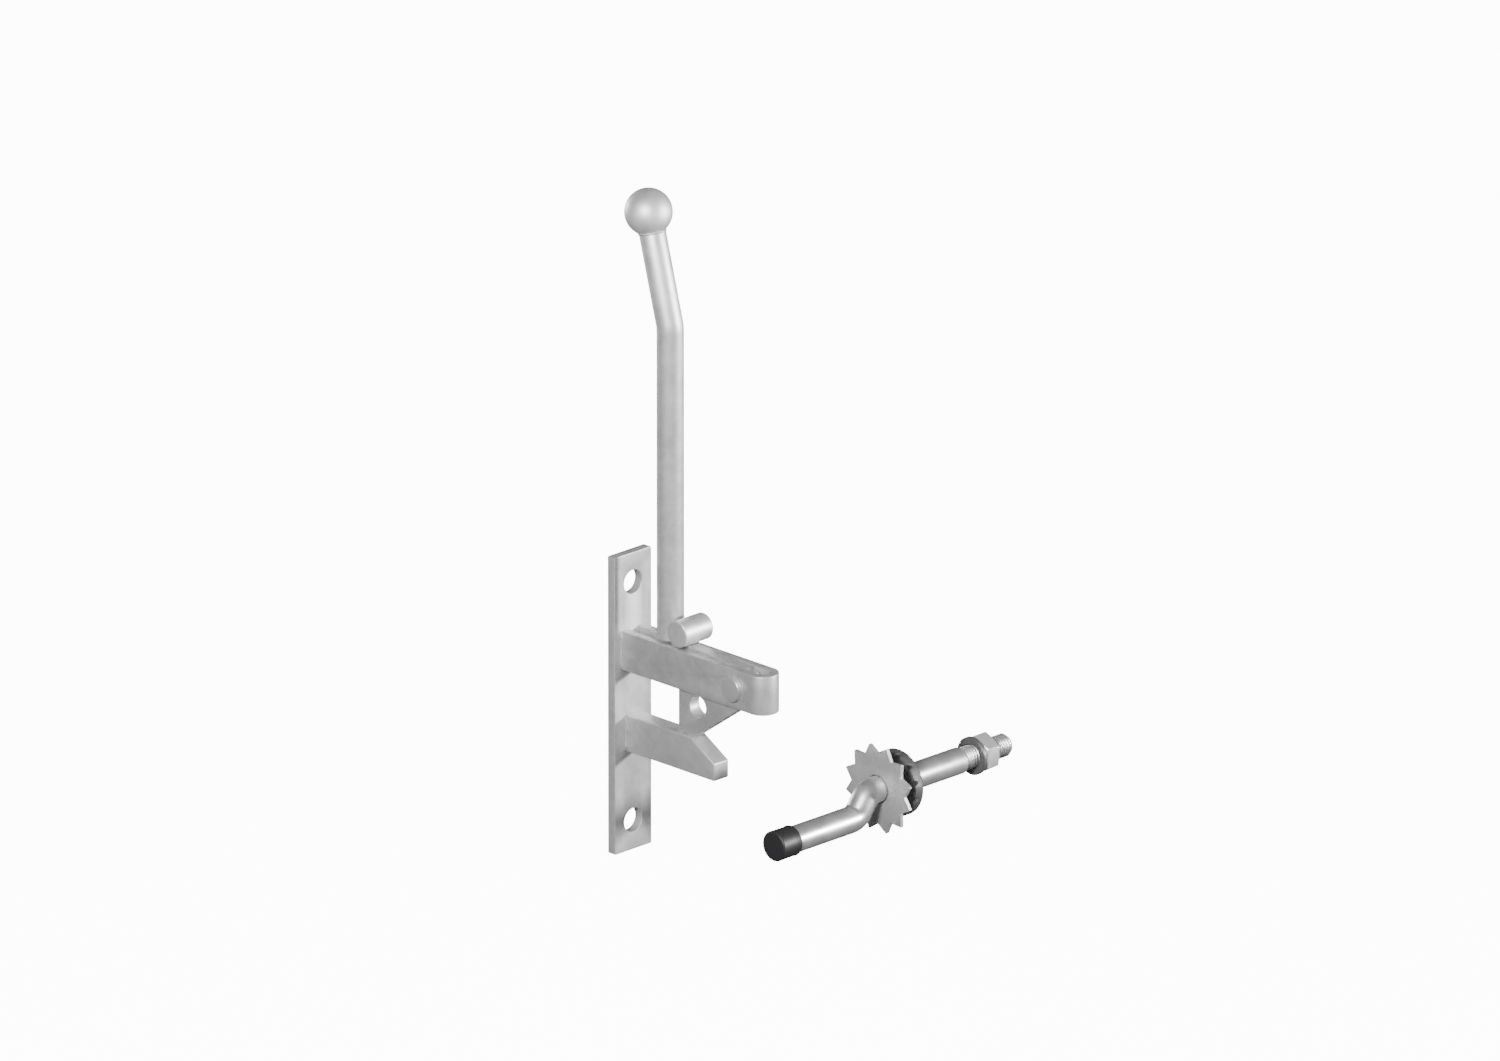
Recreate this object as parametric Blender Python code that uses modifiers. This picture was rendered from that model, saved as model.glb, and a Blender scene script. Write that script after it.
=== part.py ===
"""Gravity gate latch with its cranked striker bolt.

The latch is a back plate for a post with two arms that reach out along +X. The upper arm
is a U-bent strap that holds a swinging lever, whose tooth drops in front of the striker
bolt by its own weight and that of the long handle. The striker bolt stands beside it as
the gate carries it: a cranked round bar along Y with toothed plates, a lock washer and a nut.

Metres, +Z up. The origin is at the centre of the back plate's rear face, and +X is the
way the arms reach.
"""
import math

import bmesh
import bpy
from mathutils import Matrix, Vector

MM = 0.001
GAP = 0.3 * MM                  # kept between pieces that touch
CYLINDER_SIDES = 48
BAR_SIDES = 40
BALL_SIDES = 32
BALL_STEPS = 18                 # from the ball's top down to its seat
BEND_STEPS = 24                 # round the strap's bend and the lever's hub
INNER_BEND_STEPS = 20
BAR_BEND_STEPS = 6

# Back plate
PLATE_T = 6 * MM
PLATE_W = 30 * MM
PLATE_H = 184 * MM
PLATE_HOLE_D = 14.5 * MM
PLATE_HOLE_Z = 73.8 * MM
PLATE_EDGE = 0.6 * MM

# Upper strap, a flat bar bent round a semicircular nose
STRAP_BAR = 5 * MM
STRAP_W = 19 * MM
STRAP_H = 24 * MM
STRAP_Z = 33.7 * MM
STRAP_REACH = 116 * MM

# Pivot pin
PIVOT_X = PLATE_T + 91.5 * MM
PIVOT_Z = 33.7 * MM
PIN_D = 12 * MM
PIN_HEAD_D = 15 * MM
PIN_HEAD_T = 3 * MM

# Lower arm
ARM_W = 12 * MM
ARM_TOP_Z = -7.3 * MM
ARM_H = 22.4 * MM
ARM_REACH = 72.5 * MM
ARM_CHAMFER_L = 19.5 * MM
ARM_CHAMFER_H = 11.6 * MM
ARM_EDGE = 0.5 * MM

# Lever plate, between the strap's sides
LEVER_T = 8 * MM
LEVER_HUB_R = 11.5 * MM
LEVER_BACK_X = PLATE_T + 41.2 * MM
LEVER_TOP_Z = 47.7 * MM
LEVER_TOP_L = 12 * MM
TOOTH_FLAT = 13.3 * MM
LOCK_HOLE_D = 13 * MM
LOCK_HOLE_X = PLATE_T + 57 * MM
LOCK_HOLE_Z = 12.2 * MM

# Cross bar on the lever plate, and the handle rod and ball it carries
BAR_D = 16 * MM
CROSS_BAR_L = 22.4 * MM
ROD_X = PLATE_T + 30.7 * MM
ROD_FOOT_Z = 47.5 * MM
ROD_BEND_Z = 238.7 * MM
ROD_BEND_R = 22 * MM
ROD_LEAN = math.radians(15)
ROD_UPPER = 68.7 * MM
BALL_D = 28.4 * MM
BAR_EDGE = 0.5 * MM

# Striker bolt
BOLT_D = 16 * MM
BOLT_X = PLATE_T + 150 * MM
BOLT_FAR_Z = -28.5 * MM
BOLT_OFFSET = 13.3 * MM
BOLT_NEAR_Y = -35 * MM
CRANK_START_Y = 32.5 * MM
CRANK_END_Y = 42.5 * MM
CRANK_BEND_R = 10 * MM
SHOULDER_Y = 118 * MM
SHOULDER_CHAMFER = 0.8 * MM
THREAD_D = 14 * MM
THREAD_END_Y = 156.5 * MM
THREAD_CHAMFER = 1.5 * MM

# Cap on the bolt's near end
CAP_D = 18.4 * MM
CAP_L = 15 * MM
CAP_FLOOR = 2 * MM
CAP_TAPER = 0.2 * MM

# Toothed plates on the bolt's bar
PLATE_BORE_D = 17 * MM
FRONT_TEETH = 12
FRONT_TIP_D = 54 * MM
FRONT_ROOT_D = 43 * MM
FRONT_T = 2.5 * MM
FRONT_Y = 50.5 * MM
REAR_D = 40 * MM
REAR_T = 2.5 * MM
REAR_RIM_T = 2 * MM
REAR_DEPTH = 7 * MM
REAR_Y = 62 * MM

# Lock washer and nut on the bolt's thread
THREAD_BORE_D = 14.6 * MM
WASHER_D = 23 * MM
WASHER_T = 2.6 * MM
WASHER_Y = 127.4 * MM
NUT_AF = 21 * MM
NUT_T = 10.5 * MM


# ---------------------------------------------------------------- helpers

def clear_scene():
    for obj in list(bpy.data.objects):
        bpy.data.objects.remove(obj, do_unlink=True)
    for coll in list(bpy.data.collections):
        bpy.data.collections.remove(coll)


def make_collection(name):
    coll = bpy.data.collections.new(name)
    bpy.context.scene.collection.children.link(coll)
    return coll


def make_material(name, colour, roughness, metallic):
    mat = bpy.data.materials.new(name)
    mat.use_nodes = True
    shader = mat.node_tree.nodes["Principled BSDF"]
    shader.inputs["Base Color"].default_value = (*colour, 1.0)
    shader.inputs["Roughness"].default_value = roughness
    shader.inputs["Metallic"].default_value = metallic
    mat.diffuse_color = (*colour, 1.0)
    return mat


def link_mesh(name, mesh, coll):
    obj = bpy.data.objects.new(name, mesh)
    coll.objects.link(obj)
    return obj


def finish_piece(obj, mat, origin, parent=None):
    """Give the piece its material and origin, and shade its round faces smooth."""
    obj.data.materials.clear()
    obj.data.materials.append(mat)
    obj.data.transform(Matrix.Translation(-Vector(origin)))
    obj.location = origin
    obj.data.shade_smooth()
    obj.data.set_sharp_from_angle(angle=math.radians(35))
    if parent is not None:
        bpy.context.view_layer.update()
        obj.parent = parent
        obj.matrix_parent_inverse = parent.matrix_world.inverted()
    return obj


def make_pivot(name, origin, coll, parent=None):
    """An empty on a joint's axis, for the pieces that move with it."""
    empty = bpy.data.objects.new(name, None)
    empty.location = origin
    empty.empty_display_size = 10 * MM
    coll.objects.link(empty)
    bpy.context.view_layer.update()
    if parent is not None:
        empty.parent = parent
        empty.matrix_parent_inverse = parent.matrix_world.inverted()
    return empty


def cylinder(name, radius, length, centre, axis, coll, sides=CYLINDER_SIDES):
    """A cylinder of the given length along the world axis named X, Y or Z."""
    turns = {"X": Matrix.Rotation(math.pi / 2, 4, "Y"),
             "Y": Matrix.Rotation(-math.pi / 2, 4, "X"),
             "Z": Matrix.Identity(4)}
    bm = bmesh.new()
    bmesh.ops.create_cone(bm, cap_ends=True, segments=sides, radius1=radius,
                          radius2=radius, depth=length)
    bmesh.ops.transform(bm, matrix=Matrix.Translation(centre) @ turns[axis], verts=bm.verts)
    mesh = bpy.data.meshes.new(name)
    bm.to_mesh(mesh)
    bm.free()
    return link_mesh(name, mesh, coll)


def box(name, low, high, coll):
    low = Vector(low)
    high = Vector(high)
    size = high - low
    place = Matrix.Translation((low + high) / 2)
    bm = bmesh.new()
    bmesh.ops.create_cube(bm, size=1.0)
    bmesh.ops.transform(bm, matrix=place @ Matrix.Diagonal((*size, 1.0)), verts=bm.verts)
    mesh = bpy.data.meshes.new(name)
    bm.to_mesh(mesh)
    bm.free()
    return link_mesh(name, mesh, coll)


def curve_to_mesh(name, curve_obj, coll):
    """The curve's evaluated surface as one welded mesh object."""
    graph = bpy.context.evaluated_depsgraph_get()
    mesh = bpy.data.meshes.new_from_object(curve_obj.evaluated_get(graph))
    bm = bmesh.new()
    bm.from_mesh(mesh)
    bmesh.ops.remove_doubles(bm, verts=bm.verts, dist=0.01 * MM)
    bmesh.ops.recalc_face_normals(bm, faces=bm.faces)
    bm.to_mesh(mesh)
    bm.free()
    obj = link_mesh(name, mesh, coll)
    obj.matrix_world = curve_obj.matrix_world
    bpy.data.objects.remove(curve_obj, do_unlink=True)
    return obj


def flat_outline(name, outlines, thickness, turn, coll):
    """A flat plate from closed outlines: the first is the edge and the others are holes.

    The outlines lie in the plane of turn's first two axes, centred through the plate.
    """
    curve = bpy.data.curves.new(name, "CURVE")
    curve.dimensions = "2D"
    curve.fill_mode = "BOTH"
    curve.extrude = thickness / 2
    for outline in outlines:
        spline = curve.splines.new("POLY")
        spline.points.add(len(outline) - 1)
        for point, (u, v) in zip(spline.points, outline):
            point.co = (u, v, 0.0, 1.0)
        spline.use_cyclic_u = True
    obj = link_mesh(name + "_curve", curve, coll)
    obj.matrix_world = turn
    bpy.context.view_layer.update()
    mesh_obj = curve_to_mesh(name, obj, coll)
    mesh_obj.data.transform(turn)
    mesh_obj.matrix_world = Matrix.Identity(4)
    return mesh_obj


def round_bar(name, points, radius, coll, resolution=6):
    """A round bar along a list of points, with filled ends."""
    curve = bpy.data.curves.new(name, "CURVE")
    curve.dimensions = "3D"
    curve.bevel_depth = radius
    curve.bevel_resolution = resolution
    curve.use_fill_caps = True
    spline = curve.splines.new("POLY")
    spline.points.add(len(points) - 1)
    for target, point in zip(spline.points, points):
        target.co = (*point, 1.0)
    obj = link_mesh(name + "_curve", curve, coll)
    bpy.context.view_layer.update()
    return curve_to_mesh(name, obj, coll)


def turned(name, profile, coll, steps=CYLINDER_SIDES):
    """A piece turned about Y from (radius, y) points that run down its outer side."""
    bm = bmesh.new()
    verts = [bm.verts.new((radius, 0.0, height)) for radius, height in profile]
    for first, second in zip(verts, verts[1:]):
        bm.edges.new((first, second))
    mesh = bpy.data.meshes.new(name)
    bm.to_mesh(mesh)
    bm.free()
    obj = link_mesh(name, mesh, coll)
    screw = obj.modifiers.new("turn", "SCREW")
    screw.axis = "Z"
    screw.steps = steps
    screw.render_steps = steps
    screw.use_merge_vertices = True
    screw.merge_threshold = 0.01 * MM
    apply_modifiers(obj)
    bm = bmesh.new()
    bm.from_mesh(obj.data)
    bmesh.ops.remove_doubles(bm, verts=bm.verts, dist=0.01 * MM)
    bmesh.ops.recalc_face_normals(bm, faces=bm.faces)
    bm.to_mesh(obj.data)
    bm.free()
    obj.data.transform(Matrix.Rotation(-math.pi / 2, 4, "X"))
    return obj


def apply_modifiers(obj):
    bpy.context.view_layer.update()
    graph = bpy.context.evaluated_depsgraph_get()
    mesh = bpy.data.meshes.new_from_object(obj.evaluated_get(graph))
    obj.modifiers.clear()
    obj.data = mesh


def cut(obj, tools, operation="DIFFERENCE"):
    """Cut the tools out of the piece, or join them to it with the operation UNION."""
    for tool in tools:
        tool.hide_render = True
        tool.display_type = "WIRE"
        boolean = obj.modifiers.new("with_" + tool.name, "BOOLEAN")
        boolean.operation = operation
        boolean.solver = "EXACT"
        boolean.object = tool
    apply_modifiers(obj)


def bevel_edges(obj, width, segments=1):
    bevel = obj.modifiers.new("edges", "BEVEL")
    bevel.width = width
    bevel.segments = segments
    bevel.limit_method = "ANGLE"
    bevel.angle_limit = math.radians(50)
    apply_modifiers(obj)


def arc(centre, radius, start, end, steps):
    """Points on an arc from angle start to angle end, both included."""
    angles = [start + (end - start) * i / steps for i in range(steps + 1)]
    return [(centre[0] + radius * math.cos(a), centre[1] + radius * math.sin(a))
            for a in angles]


def circle(centre, radius, steps):
    return arc(centre, radius, 0.0, 2 * math.pi, steps)[:-1]


def tangent_angle(point, centre, radius, side):
    """Angle on the circle where a line from the point touches it, on side +1 or -1."""
    away = Vector(point) - Vector(centre)
    opening = math.acos(radius / away.length)
    return math.atan2(away.y, away.x) + side * opening


def filleted_path(corners, radius, steps):
    """A path through 3-D corner points with its inner corners rounded to a radius."""
    corners = [Vector(c) for c in corners]
    path = [corners[0]]
    for before, corner, after in zip(corners, corners[1:], corners[2:]):
        back = (before - corner).normalized()
        ahead = (after - corner).normalized()
        half = back.angle(ahead) / 2
        reach = radius / math.tan(half)
        middle = corner + (back + ahead).normalized() * (radius / math.sin(half))
        start = corner + back * reach - middle
        end = corner + ahead * reach - middle
        turn_axis = start.cross(end).normalized()
        turn = start.angle(end)
        for i in range(steps + 1):
            path.append(middle + Matrix.Rotation(turn * i / steps, 3, turn_axis) @ start)
    path.append(corners[-1])
    return path


# Outlines in the XZ plane are drawn as (x, z) and stand with their thickness along Y.
UPRIGHT = Matrix.Rotation(math.pi / 2, 4, "X")


# ---------------------------------------------------------------- the latch

def build_back_plate(coll, cutters, mat):
    half_w = PLATE_W / 2
    half_h = PLATE_H / 2
    plate = box("back_plate", (0, -half_w, -half_h), (PLATE_T, half_w, half_h), coll)
    holes = [cylinder(f"plate_hole_{i}", PLATE_HOLE_D / 2, 3 * PLATE_T,
                      (PLATE_T / 2, 0, z), "X", cutters)
             for i, z in enumerate((-PLATE_HOLE_Z, PLATE_HOLE_Z))]
    cut(plate, holes)
    bevel_edges(plate, PLATE_EDGE)
    return finish_piece(plate, mat, (0, 0, 0))


def build_upper_strap(coll, cutters, mat):
    outer = STRAP_W / 2
    inner = outer - STRAP_BAR
    root = PLATE_T + GAP
    bend = (PLATE_T + STRAP_REACH - outer, 0.0)
    outline = [(root, -outer)]
    outline += arc(bend, outer, -math.pi / 2, math.pi / 2, BEND_STEPS)
    outline += [(root, outer), (root, inner)]
    outline += arc(bend, inner, math.pi / 2, -math.pi / 2, INNER_BEND_STEPS)
    outline += [(root, -inner)]
    strap = flat_outline("upper_strap", [outline], STRAP_H,
                         Matrix.Translation((0, 0, STRAP_Z)), coll)
    bore = cylinder("strap_bore", PIN_D / 2 + GAP, 2 * STRAP_W, (PIVOT_X, 0, PIVOT_Z),
                    "Y", cutters)
    cut(strap, [bore])
    return finish_piece(strap, mat, (0, 0, 0))


def build_lower_arm(coll, mat):
    root = PLATE_T + GAP
    tip = PLATE_T + ARM_REACH
    low = ARM_TOP_Z - ARM_H
    outline = [(root, low), (tip, low), (tip, ARM_TOP_Z - ARM_CHAMFER_H),
               (tip - ARM_CHAMFER_L, ARM_TOP_Z), (root, ARM_TOP_Z)]
    arm = flat_outline("lower_arm", [outline], ARM_W, UPRIGHT, coll)
    bevel_edges(arm, ARM_EDGE)
    return finish_piece(arm, mat, (0, 0, 0))


def build_pivot_pin(coll, mat):
    head_r = PIN_HEAD_D / 2
    pin_r = PIN_D / 2
    inside = STRAP_W / 2 + GAP
    outside = inside + PIN_HEAD_T
    edge = PIN_HEAD_T / 4
    upper = [(0.0, outside), (head_r - edge, outside), (head_r, outside - edge),
             (head_r, inside), (pin_r, inside)]
    lower = [(radius, -height) for radius, height in reversed(upper)]
    pin = turned("pivot_pin", upper + lower, coll)
    pin.data.transform(Matrix.Translation((PIVOT_X, 0, PIVOT_Z)))
    return finish_piece(pin, mat, (PIVOT_X, 0, PIVOT_Z))


# ---------------------------------------------------------------- the swinging lever

def build_lever_plate(coll, cutters, mat, pivot):
    hub = (PIVOT_X, PIVOT_Z)
    tooth_z = ARM_TOP_Z + GAP
    tooth_front = (LEVER_BACK_X + TOOTH_FLAT, tooth_z)
    top_front = (LEVER_BACK_X + LEVER_TOP_L, LEVER_TOP_Z)
    start = tangent_angle(tooth_front, hub, LEVER_HUB_R, 1)
    end = tangent_angle(top_front, hub, LEVER_HUB_R, -1)
    while end < start:
        end += 2 * math.pi
    outline = [(LEVER_BACK_X, tooth_z), tooth_front]
    outline += arc(hub, LEVER_HUB_R, start, end, BEND_STEPS)
    outline += [top_front, (LEVER_BACK_X, LEVER_TOP_Z)]
    lever = flat_outline("lever_plate", [outline], LEVER_T, UPRIGHT, coll)
    bore = cylinder("lever_bore", PIN_D / 2 + GAP, 2 * LEVER_T, (PIVOT_X, 0, PIVOT_Z),
                    "Y", cutters)
    lock_hole = cylinder("lock_hole", LOCK_HOLE_D / 2, 2 * LEVER_T,
                         (LOCK_HOLE_X, 0, LOCK_HOLE_Z), "Y", cutters)
    cut(lever, [bore, lock_hole])
    return finish_piece(lever, mat, (PIVOT_X, 0, PIVOT_Z), pivot)


def build_cross_bar(coll, mat, pivot):
    """It stands on the lever plate's top edge, against the front of the handle rod."""
    radius = BAR_D / 2
    centre = (ROD_X + BAR_D + GAP, 0, LEVER_TOP_Z + radius + GAP)
    bar = cylinder("cross_bar", radius, CROSS_BAR_L, centre, "Y", coll, BAR_SIDES)
    bevel_edges(bar, BAR_EDGE)
    return finish_piece(bar, mat, (PIVOT_X, 0, PIVOT_Z), pivot)


def handle_path():
    """The rod's foot, bend and top end, the ball's centre and the way the rod leans."""
    foot = Vector((ROD_X, 0, ROD_FOOT_Z))
    bend = Vector((ROD_X, 0, ROD_BEND_Z))
    lean = Vector((-math.sin(ROD_LEAN), 0, math.cos(ROD_LEAN)))
    ball = bend + lean * ROD_UPPER
    seat = math.sqrt((BALL_D / 2) ** 2 - (BAR_D / 2) ** 2)
    return foot, bend, ball - lean * (seat + GAP), ball, lean


def build_handle_rod(coll, mat, pivot):
    foot, bend, top, _, _ = handle_path()
    path = filleted_path([foot, bend, top], ROD_BEND_R, BAR_BEND_STEPS)
    rod = round_bar("handle_rod", path, BAR_D / 2, coll)
    return finish_piece(rod, mat, (PIVOT_X, 0, PIVOT_Z), pivot)


def build_ball_knob(coll, mat, pivot):
    """A ball with a flat seat for the end of the rod."""
    _, _, _, ball, lean = handle_path()
    seat_angle = math.asin(BAR_D / BALL_D)
    profile = arc((0, 0), BALL_D / 2, math.pi / 2, -math.pi / 2 + seat_angle, BALL_STEPS)
    profile.append((0.0, profile[-1][1]))
    knob = turned("ball_knob", profile, coll, steps=BALL_SIDES)
    along = Vector((0, 1, 0)).rotation_difference(lean).to_matrix().to_4x4()
    knob.data.transform(Matrix.Translation(ball) @ along)
    return finish_piece(knob, mat, (PIVOT_X, 0, PIVOT_Z), pivot)


# ---------------------------------------------------------------- the striker

def build_striker_bolt(coll, cutters, mat, parent):
    """A cranked bar with a shoulder, and a thinner threaded end beyond it."""
    near_z = BOLT_FAR_Z - BOLT_OFFSET
    corners = [(BOLT_X, BOLT_NEAR_Y + CAP_FLOOR + GAP, near_z),
               (BOLT_X, CRANK_START_Y, near_z),
               (BOLT_X, CRANK_END_Y, BOLT_FAR_Z),
               (BOLT_X, SHOULDER_Y, BOLT_FAR_Z)]
    path = filleted_path(corners, CRANK_BEND_R, BAR_BEND_STEPS)
    bolt = round_bar("striker_bolt", path, BOLT_D / 2, coll)
    bevel_edges(bolt, SHOULDER_CHAMFER)
    thread_root_y = SHOULDER_Y - BOLT_D
    length = THREAD_END_Y - thread_root_y
    middle = (BOLT_X, thread_root_y + length / 2, BOLT_FAR_Z)
    thread = cylinder("thread", THREAD_D / 2, length, middle, "Y", cutters)
    bevel_edges(thread, THREAD_CHAMFER)
    cut(bolt, [thread], "UNION")
    return finish_piece(bolt, mat, (BOLT_X, 0, BOLT_FAR_Z), parent)


def build_end_cap(coll, mat, parent):
    outer = CAP_D / 2
    inner = BOLT_D / 2 + GAP
    edge = CAP_FLOOR / 2
    near_y = BOLT_NEAR_Y
    far_y = BOLT_NEAR_Y + CAP_L
    floor_y = BOLT_NEAR_Y + CAP_FLOOR
    profile = [(0.0, floor_y), (inner, floor_y), (inner, far_y), (outer - CAP_TAPER, far_y),
               (outer, near_y + edge), (outer - edge, near_y), (0.0, near_y)]
    cap = turned("end_cap", profile, coll)
    cap.data.transform(Matrix.Translation((BOLT_X, 0, BOLT_FAR_Z - BOLT_OFFSET)))
    return finish_piece(cap, mat, (BOLT_X, 0, BOLT_FAR_Z), parent)


def star_outline(teeth, tip_r, root_r):
    """Pointed teeth round a circle, with a gap between two of them at angle 0."""
    points = []
    for i in range(teeth):
        for offset, radius in ((0.0, root_r), (0.5, tip_r)):
            angle = 2 * math.pi * (i + offset) / teeth
            points.append((radius * math.cos(angle), radius * math.sin(angle)))
    return points


def build_front_toothed_plate(coll, mat, parent):
    outline = star_outline(FRONT_TEETH, FRONT_TIP_D / 2, FRONT_ROOT_D / 2)
    hole = circle((0, 0), PLATE_BORE_D / 2, CYLINDER_SIDES)
    middle = Matrix.Translation((BOLT_X, FRONT_Y + FRONT_T / 2, BOLT_FAR_Z))
    plate = flat_outline("front_toothed_plate", [outline, hole], FRONT_T,
                         middle @ UPRIGHT, coll)
    return finish_piece(plate, mat, (BOLT_X, FRONT_Y, BOLT_FAR_Z), parent)


def build_rear_toothed_plate(coll, mat, parent):
    outer = REAR_D / 2
    inner = PLATE_BORE_D / 2
    rim = outer - REAR_RIM_T
    back_y = REAR_Y + REAR_DEPTH
    floor_y = back_y - REAR_T
    profile = [(inner, back_y), (outer, back_y), (outer, REAR_Y), (rim, REAR_Y),
               (rim, floor_y), (inner, floor_y), (inner, back_y)]
    plate = turned("rear_toothed_plate", profile, coll)
    plate.data.transform(Matrix.Translation((BOLT_X, 0, BOLT_FAR_Z)))
    return finish_piece(plate, mat, (BOLT_X, back_y, BOLT_FAR_Z), parent)


def build_lock_washer(coll, mat, parent):
    inner = THREAD_BORE_D / 2
    outer = WASHER_D / 2
    far_y = WASHER_Y + WASHER_T
    profile = [(inner, far_y), (outer, far_y), (outer, WASHER_Y), (inner, WASHER_Y),
               (inner, far_y)]
    washer = turned("lock_washer", profile, coll)
    washer.data.transform(Matrix.Translation((BOLT_X, 0, BOLT_FAR_Z)))
    return finish_piece(washer, mat, (BOLT_X, WASHER_Y, BOLT_FAR_Z), parent)


def build_hex_nut(coll, cutters, mat, parent):
    corner_r = NUT_AF / math.sqrt(3)
    near_y = WASHER_Y + WASHER_T + GAP
    middle = (BOLT_X, near_y + NUT_T / 2, BOLT_FAR_Z)
    nut = cylinder("hex_nut", corner_r, NUT_T, middle, "Y", coll, 6)
    bore = cylinder("nut_bore", THREAD_BORE_D / 2, 2 * NUT_T, middle, "Y", cutters)
    cut(nut, [bore])
    return finish_piece(nut, mat, (BOLT_X, near_y, BOLT_FAR_Z), parent)


# ---------------------------------------------------------------- assembly

def build():
    clear_scene()
    coll = make_collection("gravity_gate_latch")
    cutters = make_collection("cutters")
    zinc = (0.55, 0.55, 0.54)

    def steel(name, shade=1.0):
        colour = tuple(channel * shade for channel in zinc)
        return make_material(name + "_galvanised_steel", colour, 0.5, 0.7)

    build_back_plate(coll, cutters, steel("plate"))
    build_upper_strap(coll, cutters, steel("strap"))
    build_lower_arm(coll, steel("arm"))
    build_pivot_pin(coll, steel("pin", 1.1))

    lever_axis = make_pivot("lever_axis", (PIVOT_X, 0, PIVOT_Z), coll)
    build_lever_plate(coll, cutters, steel("lever", 0.9), lever_axis)
    build_handle_rod(coll, steel("rod", 1.1), lever_axis)
    build_ball_knob(coll, steel("ball", 1.2), lever_axis)
    build_cross_bar(coll, steel("cross_bar", 1.1), lever_axis)

    gate = make_pivot("gate_side", (BOLT_X, FRONT_Y, BOLT_FAR_Z), coll)
    build_front_toothed_plate(coll, steel("front_teeth", 0.9), gate)
    rear = make_pivot("rear_plate_slide", (BOLT_X, REAR_Y, BOLT_FAR_Z), coll, gate)
    dark = make_material("dark_steel", (0.12, 0.12, 0.12), 0.6, 0.5)
    build_rear_toothed_plate(coll, dark, rear)
    bolt_axis = make_pivot("bolt_axis", (BOLT_X, 0, BOLT_FAR_Z), coll, gate)
    build_striker_bolt(coll, cutters, steel("bolt"), bolt_axis)
    black = make_material("black_cap_plastic", (0.03, 0.03, 0.03), 0.5, 0.0)
    build_end_cap(coll, black, bolt_axis)
    washer_slide = make_pivot("washer_slide", (BOLT_X, WASHER_Y, BOLT_FAR_Z), coll,
                              bolt_axis)
    build_lock_washer(coll, steel("washer", 0.25), washer_slide)
    build_hex_nut(coll, cutters, steel("nut", 1.1), washer_slide)


build()
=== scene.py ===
"""Looks for the gravity gate latch: finished surfaces and materials round its CAD frame.

Every CAD node is replaced by a piece at the same size and place, with rounded edges. The
thread, the teeth and the weld beads are added, and the finishes are galvanised or plated
zinc, steel darkened as painted shade, and black plastic.
"""
import math

import bmesh
import bpy
from mathutils import Matrix, Vector, noise


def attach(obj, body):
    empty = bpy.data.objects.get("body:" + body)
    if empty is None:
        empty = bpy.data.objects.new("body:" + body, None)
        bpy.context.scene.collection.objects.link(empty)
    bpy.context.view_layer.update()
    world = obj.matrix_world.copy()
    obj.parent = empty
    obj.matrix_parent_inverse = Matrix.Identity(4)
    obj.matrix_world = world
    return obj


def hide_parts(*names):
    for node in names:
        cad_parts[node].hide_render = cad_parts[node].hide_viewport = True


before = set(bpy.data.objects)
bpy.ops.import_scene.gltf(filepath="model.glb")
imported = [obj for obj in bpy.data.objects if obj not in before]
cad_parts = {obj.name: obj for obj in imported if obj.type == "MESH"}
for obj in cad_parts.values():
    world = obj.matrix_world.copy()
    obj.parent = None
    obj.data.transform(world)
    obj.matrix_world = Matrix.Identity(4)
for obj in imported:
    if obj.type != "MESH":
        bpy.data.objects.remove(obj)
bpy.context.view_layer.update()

MM = 0.001

# Sizes shared with the CAD pieces, in metres
PLATE_T = 6 * MM
PLATE_W = 30 * MM
PLATE_H = 184 * MM
PLATE_HOLE_D = 14.5 * MM
PLATE_HOLE_Z = 73.8 * MM
STRAP_BAR = 5 * MM
STRAP_W = 19 * MM
STRAP_H = 24 * MM
STRAP_Z = 33.7 * MM
STRAP_REACH = 116 * MM
PIVOT_X = 97.5 * MM
PIVOT_Z = 33.7 * MM
PIN_D = 12 * MM
PIN_HEAD_D = 15 * MM
PIN_HEAD_T = 3 * MM
ARM_W = 12 * MM
ARM_TOP_Z = -7.3 * MM
ARM_H = 22.4 * MM
ARM_REACH = 72.5 * MM
ARM_CHAMFER_L = 19.5 * MM
ARM_CHAMFER_H = 11.6 * MM
LEVER_T = 8 * MM
LEVER_HUB_R = 11.5 * MM
LEVER_BACK_X = 47.2 * MM
LEVER_TOP_Z = 47.7 * MM
LEVER_TOP_L = 12 * MM
TOOTH_FLAT = 13.3 * MM
LOCK_HOLE_D = 13 * MM
LOCK_HOLE_X = 63 * MM
LOCK_HOLE_Z = 12.2 * MM
BAR_D = 16 * MM
CROSS_BAR_L = 22.4 * MM
ROD_X = 36.7 * MM
ROD_FOOT_Z = 47.5 * MM
ROD_BEND_Z = 238.7 * MM
ROD_BEND_R = 22 * MM
ROD_LEAN = math.radians(15)
ROD_UPPER = 68.7 * MM
BALL_D = 28.4 * MM
BOLT_D = 16 * MM
BOLT_X = 156 * MM
BOLT_FAR_Z = -28.5 * MM
BOLT_OFFSET = 13.3 * MM
BOLT_NEAR_Y = -35 * MM
CRANK_START_Y = 32.5 * MM
CRANK_END_Y = 42.5 * MM
CRANK_BEND_R = 10 * MM
SHOULDER_Y = 118 * MM
THREAD_D = 14 * MM
THREAD_END_Y = 156.5 * MM
CAP_D = 18.4 * MM
CAP_L = 15 * MM
CAP_FLOOR = 2 * MM
PLATE_BORE_D = 17 * MM
FRONT_TEETH = 12
FRONT_TIP_D = 54 * MM
FRONT_ROOT_D = 43 * MM
FRONT_T = 2.5 * MM
FRONT_Y = 50.5 * MM
REAR_D = 40 * MM
REAR_T = 2.5 * MM
REAR_RIM_T = 2 * MM
REAR_DEPTH = 7 * MM
REAR_Y = 62 * MM
THREAD_BORE_D = 14.6 * MM
WASHER_D = 23 * MM
WASHER_T = 2.6 * MM
WASHER_Y = 127.4 * MM
NUT_AF = 21 * MM
NUT_T = 10.5 * MM
GAP = 0.3 * MM
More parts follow.
